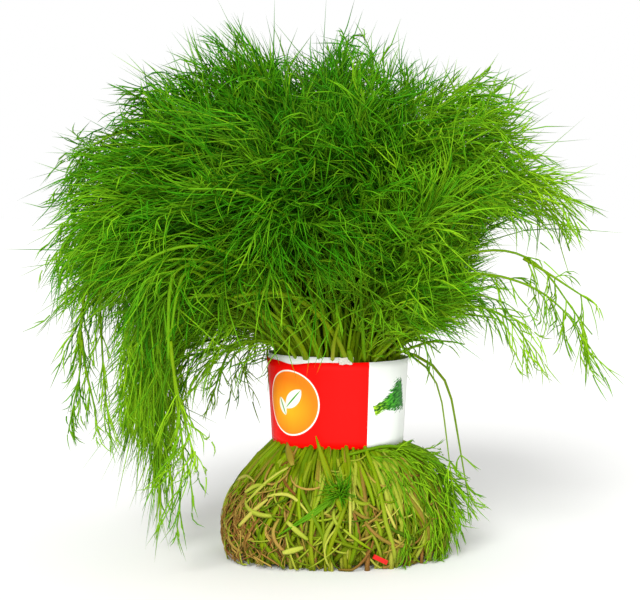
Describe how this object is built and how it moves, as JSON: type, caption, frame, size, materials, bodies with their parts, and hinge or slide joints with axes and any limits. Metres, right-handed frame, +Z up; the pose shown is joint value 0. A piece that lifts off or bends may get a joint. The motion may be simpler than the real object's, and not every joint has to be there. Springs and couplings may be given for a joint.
{
  "type": "dill bunch",
  "caption": "Bunch of fresh cut dill standing on its splayed stem ends, its middle wrapped in a printed paper band, its feathery leaves arching over on all sides.",
  "frame": {"origin": "on the surface the bunch stands on, at the central stem's flat cut end, below the middle of the paper band", "axes": "+Z up along the bunch, +X to the right of the front, where the printed panel with the round patch and the white panel face, -Y towards the front"},
  "size_m": [0.3003, 0.2455, 0.2705],
  "materials": {
    "fresh_leaf": "matte fresh green leaves and stems",
    "printed_paper": "smooth coated paper, printed",
    "red_rubber": "matte red rubber"
  },
  "bodies": {
    "root": {"label_band": "printed_paper", "red_tie_end": "red_rubber", "leafy_stems_01": "fresh_leaf", "leafy_stems_02": "fresh_leaf", "leafy_stems_03": "fresh_leaf", "leafy_stems_04": "fresh_leaf", "leafy_stems_05": "fresh_leaf", "leafy_stems_06": "fresh_leaf", "leafy_stems_07": "fresh_leaf", "leafy_stems_08": "fresh_leaf", "leafy_stems_09": "fresh_leaf", "leafy_stems_10": "fresh_leaf", "leafy_stems_11": "fresh_leaf", "leafy_stems_12": "fresh_leaf", "leafy_stems_13": "fresh_leaf", "leafy_stems_14": "fresh_leaf", "leafy_stems_15": "fresh_leaf", "leafy_stems_16": "fresh_leaf", "leafy_stems_17": "fresh_leaf", "leafy_stems_18": "fresh_leaf", "leafy_stems_19": "fresh_leaf", "leafy_stems_20": "fresh_leaf", "leafy_stems_21": "fresh_leaf", "leafy_stems_22": "fresh_leaf", "leafy_stems_23": "fresh_leaf", "leafy_stems_24": "fresh_leaf", "leafy_stems_25": "fresh_leaf", "leafy_stems_26": "fresh_leaf", "leafy_stems_27": "fresh_leaf", "leafy_stems_28": "fresh_leaf", "leafy_stems_29": "fresh_leaf", "leafy_stems_30": "fresh_leaf", "leafy_stems_31": "fresh_leaf", "leafy_stems_32": "fresh_leaf", "leafy_stems_33": "fresh_leaf", "leafy_stems_34": "fresh_leaf", "leafy_stems_35": "fresh_leaf", "leafy_stems_36": "fresh_leaf", "leafy_stems_37": "fresh_leaf"}
  },
  "joints": []
}
